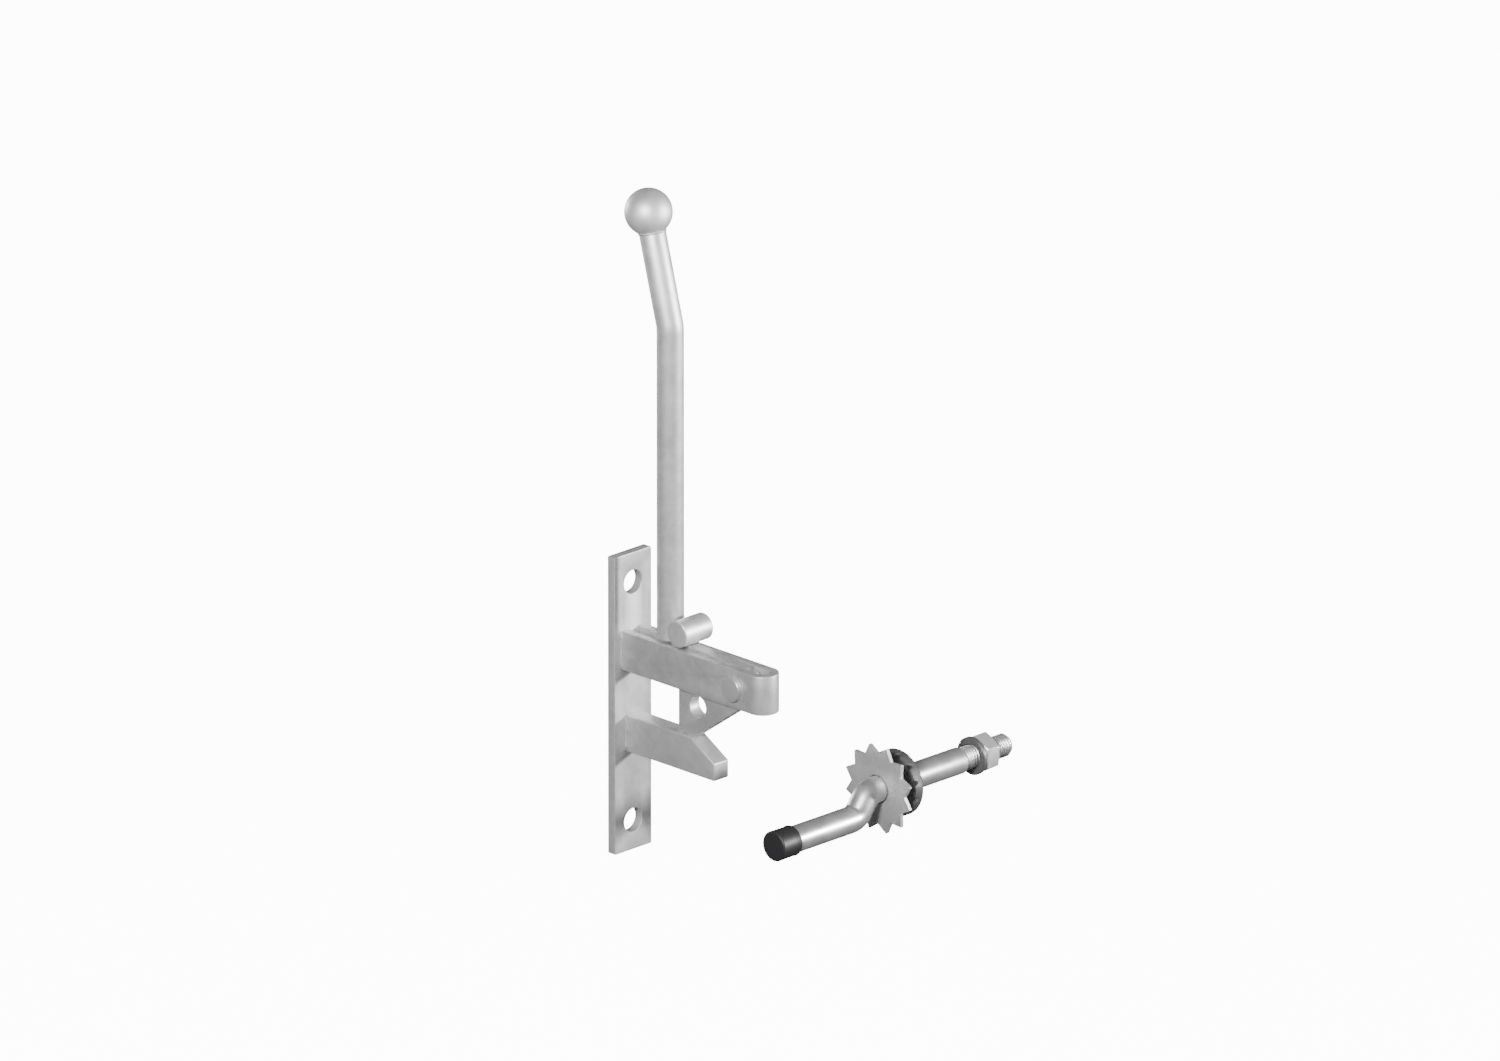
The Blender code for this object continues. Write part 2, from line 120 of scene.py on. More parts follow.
CROSS_BAR_X = ROD_X + BAR_D + GAP
CROSS_BAR_Z = LEVER_TOP_Z + BAR_D / 2 + GAP

# Sizes that only the finished pieces have, in metres. An edge is the radius it is rounded to
PLATE_CORNER_R = 0.8 * MM
PLATE_EDGE = 0.45 * MM
STRAP_EDGE = 0.5 * MM
ARM_EDGE = 0.7 * MM
LEVER_EDGE = 0.5 * MM
BAR_EDGE = 0.8 * MM
CAP_EDGE = 1.2 * MM
STAR_EDGE = 0.2 * MM
CUP_CORNER_R = 1.2 * MM
CUP_EDGE = 0.25 * MM
NUT_EDGE = 0.25 * MM
THREAD_PITCH = 2 * MM
THREAD_DEPTH = 1.15 * MM
REAR_TEETH = 12
WELD_R = 0.9 * MM
BALL_WELD_R = 0.75 * MM
WELD_OFFSET = 0.1 * MM

# Fineness of the round shapes
ROUND_SIDES = 96
BAR_SIDES = 64
THREAD_SIDES = 72
OUTER_ARC_STEPS = 56
INNER_ARC_STEPS = 40
BALL_STEPS = 40
ROD_BEND_STEPS = 18
CRANK_BEND_STEPS = 14
LONG_WELD_STEPS = 28
SHORT_WELD_STEPS = 14
BALL_WELD_STEPS = 72

# Name and direction along Y of the two sides. The near one is nearer to the camera
SIDES = (("near", -1), ("far", 1))


# ------------------------------------------------------------ materials

# Sizes of the surface patterns, in cells per metre
CRYSTAL_SCALE = 260.0
ZINC_CLOUD_SCALE = 70.0
ZINC_GRAIN_SCALE = 900.0
DARK_CLOUD_SCALE = 160.0
DARK_GRAIN_SCALE = 1100.0
PLASTIC_GRAIN_SCALE = 1600.0

# Depths of the grain, in metres
STEEL_GRAIN_DEPTH = 0.04 * MM
PLASTIC_GRAIN_DEPTH = 0.05 * MM

# How much the crystals count against the clouds in the mottling
CRYSTAL_SHARE = 0.35

# How much of each colour channel a tint keeps
COOL_TINT = (0.995, 1.0, 1.005)
WARM_TINT = (1.0, 1.0, 0.99)
DARK_FILM_TINT = (0.8, 0.8, 0.82)
WORN_FILM_TINT = (1.3, 1.3, 1.3)


def new_material(name):
    mat = bpy.data.materials.new(name)
    mat.use_nodes = True
    return mat, mat.node_tree, mat.node_tree.nodes["Principled BSDF"]


def tinted(shade, tint):
    """An opaque colour: a grey shade, times a share for each channel."""
    return (*(shade * share for share in tint), 1.0)


def noise_node(tree, coords, scale, detail=2.0, roughness=0.5):
    node = tree.nodes.new("ShaderNodeTexNoise")
    node.inputs["Scale"].default_value = scale
    node.inputs["Detail"].default_value = detail
    node.inputs["Roughness"].default_value = roughness
    tree.links.new(coords.outputs["Object"], node.inputs["Vector"])
    return node


def map_range(tree, source, low, high, from_low=0.3, from_high=0.7):
    """A node that stretches the source's usual range to run from low to high."""
    node = tree.nodes.new("ShaderNodeMapRange")
    node.inputs["From Min"].default_value = from_low
    node.inputs["From Max"].default_value = from_high
    node.inputs["To Min"].default_value = low
    node.inputs["To Max"].default_value = high
    tree.links.new(source, node.inputs["Value"])
    return node


def blend_colour(tree, shader, factor, low, high):
    """Base colour that runs from low to high as the factor goes from 0 to 1."""
    mix = tree.nodes.new("ShaderNodeMix")
    mix.data_type = "RGBA"
    mix.inputs["A"].default_value = low
    mix.inputs["B"].default_value = high
    tree.links.new(factor, mix.inputs["Factor"])
    tree.links.new(mix.outputs["Result"], shader.inputs["Base Color"])


def vary_roughness(tree, shader, source, low, high):
    rough = map_range(tree, source, low, high)
    tree.links.new(rough.outputs["Result"], shader.inputs["Roughness"])


def add_bump(tree, shader, height, strength, distance):
    bump = tree.nodes.new("ShaderNodeBump")
    bump.inputs["Strength"].default_value = strength
    bump.inputs["Distance"].default_value = distance
    tree.links.new(height, bump.inputs["Height"])
    tree.links.new(bump.outputs["Normal"], shader.inputs["Normal"])


def zinc_steel(name, shade, roughness=0.48, metallic=0.65, mottle=0.05, grain=0.25):
    """Galvanised or zinc-plated steel: faint crystal mottling and a fine dull grain."""
    mat, tree, shader = new_material(name)
    coords = tree.nodes.new("ShaderNodeTexCoord")
    crystals = tree.nodes.new("ShaderNodeTexVoronoi")
    crystals.inputs["Scale"].default_value = CRYSTAL_SCALE
    tree.links.new(coords.outputs["Object"], crystals.inputs["Vector"])
    crystal_grey = tree.nodes.new("ShaderNodeSeparateColor")
    tree.links.new(crystals.outputs["Color"], crystal_grey.inputs["Color"])
    clouds = noise_node(tree, coords, ZINC_CLOUD_SCALE, detail=4.0, roughness=0.6)
    both = tree.nodes.new("ShaderNodeMath")
    both.operation = "MULTIPLY_ADD"
    both.inputs[1].default_value = CRYSTAL_SHARE
    tree.links.new(crystal_grey.outputs["Red"], both.inputs[0])
    tree.links.new(clouds.outputs["Fac"], both.inputs[2])
    blend = map_range(tree, both.outputs["Value"], 0.0, 1.0, from_low=0.45, from_high=0.9)
    dull = tinted(shade * (1.0 - mottle), COOL_TINT)
    clean = tinted(shade * (1.0 + mottle), WARM_TINT)
    blend_colour(tree, shader, blend.outputs["Result"], dull, clean)
    fine = noise_node(tree, coords, ZINC_GRAIN_SCALE, detail=3.0)
    vary_roughness(tree, shader, clouds.outputs["Fac"], roughness - 0.05, roughness + 0.07)
    shader.inputs["Metallic"].default_value = metallic
    add_bump(tree, shader, fine.outputs["Fac"], grain, STEEL_GRAIN_DEPTH)
    return mat


def painted_shade_finish(name, shade):
    """Painted shade: steel darkened to stand for the shadow it lies in, with a slightly uneven,
    worn film.
    """
    roughness = 0.5
    metallic = 0.35
    mat, tree, shader = new_material(name)
    coords = tree.nodes.new("ShaderNodeTexCoord")
    clouds = noise_node(tree, coords, DARK_CLOUD_SCALE, detail=4.0, roughness=0.6)
    blend = map_range(tree, clouds.outputs["Fac"], 0.0, 1.0)
    blend_colour(tree, shader, blend.outputs["Result"],
                 tinted(shade, DARK_FILM_TINT), tinted(shade, WORN_FILM_TINT))
    vary_roughness(tree, shader, clouds.outputs["Fac"], roughness + 0.08, roughness - 0.08)
    shader.inputs["Metallic"].default_value = metallic
    fine = noise_node(tree, coords, DARK_GRAIN_SCALE)
    add_bump(tree, shader, fine.outputs["Fac"], 0.3, STEEL_GRAIN_DEPTH)
    return mat


def black_plastic(name):
    """Moulded black plastic with a fine satin texture."""
    mat, tree, shader = new_material(name)
    coords = tree.nodes.new("ShaderNodeTexCoord")
    fine = noise_node(tree, coords, PLASTIC_GRAIN_SCALE, detail=3.0)
    blend_colour(tree, shader, fine.outputs["Fac"],
                 (0.012, 0.012, 0.013, 1.0), (0.022, 0.022, 0.023, 1.0))
    vary_roughness(tree, shader, fine.outputs["Fac"], 0.42, 0.55)
    add_bump(tree, shader, fine.outputs["Fac"], 0.35, PLASTIC_GRAIN_DEPTH)
    return mat


# ------------------------------------------------------------ pieces and their edits

def mesh_object(name, bm):
    bmesh.ops.recalc_face_normals(bm, faces=bm.faces)
    mesh = bpy.data.meshes.new(name)
    bm.to_mesh(mesh)
    bm.free()
    obj = bpy.data.objects.new(name, mesh)
    bpy.context.scene.collection.objects.link(obj)
    return obj


def finish(obj, mat, body, slot, *nodes, angle=32.0):
    """Give a piece its material, smooth shading and body, and hide the CAD nodes it stands for.
    """
    obj.data.materials.clear()
    obj.data.materials.append(mat)
    obj.data.shade_smooth()
    obj.data.set_sharp_from_angle(angle=math.radians(angle))
    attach(obj, body)
    if nodes:
        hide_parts(*nodes)


def evaluate(obj):
    """Replace the object's mesh by its evaluated one, with no modifiers left."""
    bpy.context.view_layer.update()
    graph = bpy.context.evaluated_depsgraph_get()
    mesh = bpy.data.meshes.new_from_object(obj.evaluated_get(graph))
    obj.modifiers.clear()
    obj.data = mesh


def rounded(obj, width, segments=3, angle=40.0):
    """Round every edge that turns by more than the angle."""
    bevel = obj.modifiers.new("edges", "BEVEL")
    bevel.width = width
    bevel.segments = segments
    bevel.limit_method = "ANGLE"
    bevel.angle_limit = math.radians(angle)
    bevel.use_clamp_overlap = True
    evaluate(obj)


def boolean(obj, tools, operation="DIFFERENCE"):
    """Cut the tools from the object, or keep what they share, and delete the tools."""
    for tool in tools:
        mod = obj.modifiers.new("with_" + tool.name, "BOOLEAN")
        mod.operation = operation
        mod.solver = "EXACT"
        mod.object = tool
    evaluate(obj)
    for tool in tools:
        bpy.data.objects.remove(tool, do_unlink=True)


# ------------------------------------------------------------ points, paths and outlines

# These turn an outline's own X and Y to lie along X and Z, or along Y and Z
UPRIGHT = Matrix.Rotation(math.pi / 2, 4, "X")
FACING_X = Matrix(((0, 0, 1, 0), (1, 0, 0, 0), (0, 1, 0, 0), (0, 0, 0, 1)))
# This turns an outline's own Z to point along X and leaves its Y alone
FACING_OUT = Matrix(((0, 0, 1, 0), (0, 1, 0, 0), (1, 0, 0, 0), (0, 0, 0, 1)))
# Moves a piece turned about Y onto the axis of the bolt's far part
BOLT_AXIS = Matrix.Translation((BOLT_X, 0, BOLT_FAR_Z))


def on_ring(y, angle, radius, slant=0.0):
    """A place on a ring round the bolt. Local Z points outwards, Y is at a slant to the bolt."""
    return (Matrix.Translation((BOLT_X, y, BOLT_FAR_Z)) @ Matrix.Rotation(-angle, 4, "Y")
            @ Matrix.Translation((radius, 0, 0)) @ Matrix.Rotation(slant, 4, "X") @ FACING_OUT)


def line(start, end, steps):
    start = Vector(start)
    end = Vector(end)
    return [start.lerp(end, i / steps) for i in range(steps + 1)]


def arc(centre, radius, start, end, steps):
    """Points of an arc in a plane, from one angle to another."""
    angles = [start + (end - start) * i / steps for i in range(steps + 1)]
    return [(centre[0] + radius * math.cos(a), centre[1] + radius * math.sin(a))
            for a in angles]


def circle(centre, side, other, radius, sides):
    """Points of a circle in the plane of two directions."""
    angles = [2 * math.pi * k / sides for k in range(sides)]
    return [centre + side * (radius * math.cos(a)) + other * (radius * math.sin(a))
            for a in angles]


def rounded_rectangle(width, height, corner_r):
    steps = 4
    outline = []
    for sign_u, sign_v, start in ((1, 1, 0), (-1, 1, 90), (-1, -1, 180), (1, -1, 270)):
        centre = (sign_u * (width / 2 - corner_r), sign_v * (height / 2 - corner_r))
        outline += arc(centre, corner_r, math.radians(start), math.radians(start + 90), steps)
    return outline


def round_edge(radius, y, edge, way, steps):
    """(radius, y) points round the edge of an end at y. way, 1 or -1, leads into the piece."""
    turns = [math.pi / 2 * i / steps for i in range(steps + 1)]
    return [(radius - edge + edge * math.sin(a), y + way * edge * (1 - math.cos(a)))
            for a in turns]


def tangent_angle(point, centre, radius, side):
    """Where a line from the point touches the circle, as an angle at its centre."""
    away = Vector(point) - Vector(centre)
    return math.atan2(away.y, away.x) + side * math.acos(radius / away.length)


def filleted_path(corners, radius, steps):
    """A path through the corners, with an arc of the radius in place of each inner one."""
    corners = [Vector(c) for c in corners]
    path = [corners[0]]
    for before, corner, after in zip(corners, corners[1:], corners[2:]):
        back = (before - corner).normalized()
        ahead = (after - corner).normalized()
        half = back.angle(ahead) / 2
        middle = corner + (back + ahead).normalized() * (radius / math.sin(half))
        start = corner + back * (radius / math.tan(half)) - middle
        end = corner + ahead * (radius / math.tan(half)) - middle
        axis = start.cross(end).normalized()
        turn = start.angle(end)
        for i in range(steps + 1):
            path.append(middle + Matrix.Rotation(turn * i / steps, 3, axis) @ start)
    path.append(corners[-1])
    return path


# ------------------------------------------------------------ solids

def skin(bm, rings, closed=False):
    """Join rings of vertices with faces. A ring of one vertex closes an end."""
    pairs = list(zip(rings, rings[1:]))
    if closed:
        pairs.append((rings[-1], rings[0]))
    for first, second in pairs:
        sides = max(len(first), len(second))
        for i in range(sides):
            j = (i + 1) % sides
            if len(first) == 1:
                bm.faces.new((first[0], second[i], second[j]))
            elif len(second) == 1:
                bm.faces.new((first[i], first[j], second[0]))
            else:
                bm.faces.new((first[i], first[j], second[j], second[i]))


def cap_ends(bm, rings):
    bm.faces.new(rings[0])
    bm.faces.new(rings[-1])


def cylinder(name, radius, length, centre, axis, sides=ROUND_SIDES):
    turns = {"X": Matrix.Rotation(math.pi / 2, 4, "Y"),
             "Y": Matrix.Rotation(-math.pi / 2, 4, "X")}
    bm = bmesh.new()
    bmesh.ops.create_cone(bm, cap_ends=True, segments=sides, radius1=radius,
                          radius2=radius, depth=length)
    bmesh.ops.transform(bm, matrix=Matrix.Translation(centre) @ turns[axis], verts=bm.verts)
    return mesh_object(name, bm)


def slab(name, outline, thickness, place):
    """A flat plate: the outline in the local XY plane, centred through its thickness."""
    bm = bmesh.new()
    low = [bm.verts.new(place @ Vector((u, v, -thickness / 2))) for u, v in outline]
    high = [bm.verts.new(place @ Vector((u, v, thickness / 2))) for u, v in outline]
    cap_ends(bm, [low, high])
    skin(bm, [low, high])
    return mesh_object(name, bm)


def turned(name, profile, place, closed=False):
    """A piece turned about local Y from (radius, y) points. Radius 0 closes an end."""
    bm = bmesh.new()
    angles = [2 * math.pi * i / ROUND_SIDES for i in range(ROUND_SIDES)]
    rings = []
    for radius, y in profile:
        if radius == 0.0:
            points = [(0.0, y, 0.0)]
        else:
            points = [(radius * math.cos(a), y, radius * math.sin(a)) for a in angles]
        rings.append([bm.verts.new(place @ Vector(point)) for point in points])
    skin(bm, rings, closed)
    return mesh_object(name, bm)


def bar_along(name, path, normal, radius, edge):
    """A round bar with rounded ends, along a path that lies in the normal's plane."""
    steps = [(b - a).normalized() for a, b in zip(path, path[1:])]
    ways = [(back + ahead).normalized()
            for back, ahead in zip(steps[:1] + steps, steps + steps[-1:])]
    ends = round_edge(radius, 0.0, edge, 1, 3)
    stations = [(path[0] + ways[0] * setback, ways[0], r) for r, setback in ends]
    stations += [(point, way, radius) for point, way in zip(path[1:-1], ways[1:-1])]
    stations += [(path[-1] - ways[-1] * setback, ways[-1], r) for r, setback in reversed(ends)]
    bm = bmesh.new()
    rings = []
    for point, way, r in stations:
        other = way.cross(normal).normalized()
        rings.append([bm.verts.new(p) for p in circle(point, normal, other, r, BAR_SIDES)])
    skin(bm, rings)
    cap_ends(bm, rings)
    return mesh_object(name, bm)


def bead(name, path, radius, body, slot, mat, ripple=0.18, seed=0.0, closed=False):
    """A weld bead: a thin rippled tube along a path, which thins out at open ends."""
    sides = 10
    ripple_scale = 900.0
    end_share = 0.35
    end_points = 3
    off_axis = Vector((0.31, 0.47, 0.83))
    last = len(path) - 1
    bm = bmesh.new()
    rings = []
    for i, point in enumerate(path):
        if closed:
            way = (path[(i + 1) % len(path)] - path[i - 1]).normalized()
            taper = 1.0
        else:
            way = (path[min(i + 1, last)] - path[max(i - 1, 0)]).normalized()
            taper = min(1.0, end_share + (1.0 - end_share) * min(i, last - i) / end_points)
        side = way.cross(off_axis).normalized()
        other = way.cross(side)
        wave = 1.0 + ripple * noise.noise(point * ripple_scale + Vector((seed, 0.0, 0.0)))
        points = circle(point, side, other, radius * wave * taper, sides)
        rings.append([bm.verts.new(p) for p in points])
    skin(bm, rings, closed)
    if not closed:
        cap_ends(bm, rings)
    finish(mesh_object(name, bm), mat, body, slot, angle=60.0)


# ------------------------------------------------------------ the latch

def back_plate(mat):
    outline = rounded_rectangle(PLATE_W, PLATE_H, PLATE_CORNER_R)
    plate = slab("back_plate_steel", outline, PLATE_T,
                 Matrix.Translation((PLATE_T / 2, 0, 0)) @ FACING_X)
    holes = []
    for i, z in enumerate((-PLATE_HOLE_Z, PLATE_HOLE_Z)):
        centre = (PLATE_T / 2, 0, z)
        holes.append(cylinder(f"plate_hole_{i}", PLATE_HOLE_D / 2, 3 * PLATE_T, centre, "X"))
    boolean(plate, holes)
    rounded(plate, PLATE_EDGE)
    finish(plate, mat, "latch_body", "plate_steel", "back_plate")


def upper_strap(mat):
    outer = STRAP_W / 2
    inner = outer - STRAP_BAR
    root = PLATE_T + GAP
    bend = (PLATE_T + STRAP_REACH - outer, 0.0)
    outline = [(root, -outer)]
    outline += arc(bend, outer, -math.pi / 2, math.pi / 2, OUTER_ARC_STEPS)
    outline += [(root, outer), (root, inner)]
    outline += arc(bend, inner, math.pi / 2, -math.pi / 2, INNER_ARC_STEPS)
    outline += [(root, -inner)]
    strap = slab("upper_strap_steel", outline, STRAP_H, Matrix.Translation((0, 0, STRAP_Z)))
    bore = cylinder("strap_bore", PIN_D / 2 + GAP, 2 * STRAP_W, (PIVOT_X, 0, PIVOT_Z), "Y")
    boolean(strap, [bore])
    rounded(strap, STRAP_EDGE)
    finish(strap, mat, "latch_body", "strap_steel", "upper_strap")


def lower_arm(mat):
    root = PLATE_T + GAP
    tip = PLATE_T + ARM_REACH
    low = ARM_TOP_Z - ARM_H
    outline = [(root, low), (tip, low), (tip, ARM_TOP_Z - ARM_CHAMFER_H),
               (tip - ARM_CHAMFER_L, ARM_TOP_Z), (root, ARM_TOP_Z)]
    arm = slab("lower_arm_steel", outline, ARM_W, UPRIGHT)
    rounded(arm, ARM_EDGE)
    finish(arm, mat, "latch_body", "arm_steel", "lower_arm")


def pivot_pin(mat):
    """A pin riveted over a shallow dome at each end."""
    clear = 0.05 * MM
    head_r = PIN_HEAD_D / 2
    inside = STRAP_W / 2 + clear
    outside = STRAP_W / 2 + GAP + PIN_HEAD_T
    edge = 0.9 * MM
    crown = 0.5 * MM
    dome_steps = 8
    upper = [((head_r - edge) * i / dome_steps, outside - crown * (i / dome_steps) ** 2)
             for i in range(dome_steps)]
    upper += round_edge(head_r, outside - crown, edge, -1, 5)
    upper += [(head_r, inside), (PIN_D / 2, inside)]
    lower = [(radius, -y) for radius, y in reversed(upper)]
    pin = turned("pivot_pin_steel", upper + lower, Matrix.Translation((PIVOT_X, 0, PIVOT_Z)))
    finish(pin, mat, "latch_body", "pin_steel", "pivot_pin")


def lever_plate(mat):
    hub = (PIVOT_X, PIVOT_Z)
    tooth_z = ARM_TOP_Z + GAP
    tooth_front = (LEVER_BACK_X + TOOTH_FLAT, tooth_z)
    top_front = (LEVER_BACK_X + LEVER_TOP_L, LEVER_TOP_Z)
    start = tangent_angle(tooth_front, hub, LEVER_HUB_R, 1)
    end = tangent_angle(top_front, hub, LEVER_HUB_R, -1)
    outline = [(LEVER_BACK_X, tooth_z), tooth_front]
    outline += arc(hub, LEVER_HUB_R, start, end, OUTER_ARC_STEPS)
    outline += [top_front, (LEVER_BACK_X, LEVER_TOP_Z)]
    lever = slab("lever_plate_steel", outline, LEVER_T, UPRIGHT)
    bore = cylinder("lever_bore", PIN_D / 2 + GAP, 2 * LEVER_T, (PIVOT_X, 0, PIVOT_Z), "Y")
    lock_hole = cylinder("lock_hole", LOCK_HOLE_D / 2, 2 * LEVER_T,
                         (LOCK_HOLE_X, 0, LOCK_HOLE_Z), "Y")
    boolean(lever, [bore, lock_hole])
    rounded(lever, LEVER_EDGE)
    finish(lever, mat, "lever", "lever_steel", "lever_plate")


def cross_bar(mat):
    bar = cylinder("cross_bar_steel", BAR_D / 2, CROSS_BAR_L, (CROSS_BAR_X, 0, CROSS_BAR_Z), "Y")
    rounded(bar, BAR_EDGE, segments=4)
    finish(bar, mat, "lever", "rod_steel", "cross_bar")


def handle_points():
    """The rod's foot, bend and top, the ball's middle and the way the upper part leans."""
    foot = Vector((ROD_X, 0, ROD_FOOT_Z))
    bend = Vector((ROD_X, 0, ROD_BEND_Z))
    lean = Vector((-math.sin(ROD_LEAN), 0, math.cos(ROD_LEAN)))
    ball = bend + lean * ROD_UPPER
    seat = math.sqrt((BALL_D / 2) ** 2 - (BAR_D / 2) ** 2)
    return foot, bend, ball - lean * (seat + GAP), ball, lean


def handle_rod(mat):
    foot, bend, top, _, _ = handle_points()
    path = filleted_path([foot, bend, top], ROD_BEND_R, ROD_BEND_STEPS)
    rod = bar_along("handle_rod_steel", path, Vector((0, 1, 0)), BAR_D / 2, BAR_EDGE)
    finish(rod, mat, "lever", "rod_steel", "handle_rod")


def ball_knob(mat):
    """The ball, with a flat seat on the rod. It stays just inside the CAD ball's flats."""
    _, _, _, ball, lean = handle_points()
    seat_angle = math.asin(BAR_D / BALL_D)
    inset = 0.02 * MM
    ball_r = BALL_D / 2 - inset
    profile = arc((0, 0), ball_r, math.pi / 2, -math.pi / 2 + seat_angle, BALL_STEPS)
    profile[0] = (0.0, ball_r)
    profile.append((0.0, profile[-1][1]))
    along = Vector((0, 1, 0)).rotation_difference(lean).to_matrix().to_4x4()
    knob = turned("ball_knob_steel", profile, Matrix.Translation(ball) @ along)
    finish(knob, mat, "lever", "ball_steel", "ball_knob")


def latch_welds(mat):
    """Beads down both sides of the strap and of the arm, where they meet the plate."""
    lift = 0.25 * MM
    inset = 1.0 * MM
    x = PLATE_T + lift
    arms = (("strap", STRAP_W, STRAP_Z - STRAP_H / 2, STRAP_Z + STRAP_H / 2, 3.0),
            ("arm", ARM_W, ARM_TOP_Z - ARM_H, ARM_TOP_Z, 7.0))
    for side_name, side in SIDES:
        for arm, width, low, high, seed in arms:
            y = side * (width / 2 + WELD_OFFSET)
            path = line((x, y, low + inset), (x, y, high - inset), LONG_WELD_STEPS)
            bead(f"{arm}_weld_{side_name}", path, WELD_R, "latch_body", "plate_steel", mat,
                 seed=side * seed)


def lever_welds(mat):
    """Beads that join the cross bar to the handle rod and to the lever plate."""
    rod_y = 1.9 * MM
    lever_y = LEVER_T / 2 + WELD_OFFSET
    half_l = 3.5 * MM
    between_x = ROD_X + BAR_D / 2 + GAP / 2
    z = LEVER_TOP_Z + WELD_OFFSET
    for side_name, side in SIDES:
        path = line((between_x, side * rod_y, CROSS_BAR_Z - half_l),
                    (between_x, side * rod_y, CROSS_BAR_Z + half_l), SHORT_WELD_STEPS)
        bead(f"rod_weld_{side_name}", path, WELD_R, "lever", "rod_steel", mat, seed=11.0 * side)
        path = line((CROSS_BAR_X - half_l, side * lever_y, z),
                    (CROSS_BAR_X + half_l, side * lever_y, z), SHORT_WELD_STEPS)
        bead(f"lever_weld_{side_name}", path, WELD_R, "lever", "lever_steel", mat,
             seed=17.0 * side)


def ball_weld(mat):
    """A bead round the top of the rod, under the ball."""
    _, _, top, _, lean = handle_points()
    across = Vector((0, 1, 0))
    ring_r = BAR_D / 2 - WELD_OFFSET
    path = circle(top + lean * (GAP / 2), across, lean.cross(across), ring_r, BALL_WELD_STEPS)
    bead("ball_weld", path, BALL_WELD_R, "lever", "ball_steel", mat, ripple=0.12, closed=True)


# ------------------------------------------------------------ the striker

def striker_bar(mat):
    near_z = BOLT_FAR_Z - BOLT_OFFSET
    corners = [(BOLT_X, BOLT_NEAR_Y + CAP_FLOOR + GAP, near_z),
               (BOLT_X, CRANK_START_Y, near_z), (BOLT_X, CRANK_END_Y, BOLT_FAR_Z),
               (BOLT_X, SHOULDER_Y, BOLT_FAR_Z)]
    path = filleted_path(corners, CRANK_BEND_R, CRANK_BEND_STEPS)
    bar = bar_along("striker_bar_steel", path, Vector((1, 0, 0)), BOLT_D / 2, BAR_EDGE)
    finish(bar, mat, "striker", "bolt_steel", "striker_bolt")


def thread_rings(start_y, end_y):
    """(y, radii) rings of a helical thread, which deepens from nothing at its start."""
    rings_per_pitch = 10
    run_in = 2.5 * MM
    root_share = 0.12
    flank_share = 0.72
    count = round((end_y - start_y) / THREAD_PITCH * rings_per_pitch)
    rings = []
    for i in range(count + 1):
        y = start_y + (end_y - start_y) * i / count
        cut = min(1.0, (y - start_y) / run_in)
        radii = []
        for k in range(THREAD_SIDES):
            phase = ((y - start_y) / THREAD_PITCH - k / THREAD_SIDES) % 1.0
            wave = 1.0 - abs(2.0 * phase - 1.0)
            height = min(1.0, max(0.0, (wave - root_share) / flank_share))
            radii.append(THREAD_D / 2 - THREAD_DEPTH * (1.0 - height) * cut)
        rings.append((y, radii))
    return rings


def bolt_thread(mat):
    """The threaded end of the striker bar, cut down from its shoulder."""
    overlap = 1.0 * MM
    tip_l = 1.4 * MM
    rings = thread_rings(SHOULDER_Y - overlap, THREAD_END_Y - tip_l)
    last_radii = rings[-1][1]
    # The chamfered tip, as (distance from the end, drop below the crest)
    for setback, drop in ((0.5 * MM, 1.1 * MM), (0.0, 1.6 * MM)):
        limit = THREAD_D / 2 - drop
        rings.append((THREAD_END_Y - setback, [min(limit, r) for r in last_radii]))
    bm = bmesh.new()
    angles = [2 * math.pi * k / THREAD_SIDES for k in range(THREAD_SIDES)]
    loops = []
    for y, radii in rings:
        loops.append([bm.verts.new((BOLT_X + r * math.cos(a), y, BOLT_FAR_Z + r * math.sin(a)))
                      for a, r in zip(angles, radii)])
    skin(bm, loops)
    cap_ends(bm, loops)
    thread = mesh_object("striker_thread_steel", bm)
    finish(thread, mat, "striker", "bolt_steel", angle=50.0)


def end_cap(mat):
    """A moulded sleeve with a rounded closed end and a slightly rolled lip."""
    outer = CAP_D / 2
    inner = BOLT_D / 2 + GAP / 2
    near_y = BOLT_NEAR_Y
    far_y = BOLT_NEAR_Y + CAP_L
    waist = 0.2 * MM
    profile = [(0.0, near_y)]
    profile += round_edge(outer, near_y, CAP_EDGE, 1, 6)
    profile.append((outer - waist, near_y + CAP_L / 2))
    # The neck and the lip, as (drop below the outside, distance from the open end) in mm
    lip = ((0.25, 1.6), (0.0, 1.0), (0.0, 0.4), (0.25, 0.08), (0.45, 0.0))
    profile += [(outer - drop * MM, far_y - setback * MM) for drop, setback in lip]
    profile += [(inner, far_y), (inner, near_y + CAP_FLOOR), (0.0, near_y + CAP_FLOOR)]
    place = Matrix.Translation((BOLT_X, 0, BOLT_FAR_Z - BOLT_OFFSET))
    cap = turned("end_cap_plastic", profile, place)
    finish(cap, mat, "striker", "cap_plastic", "end_cap")


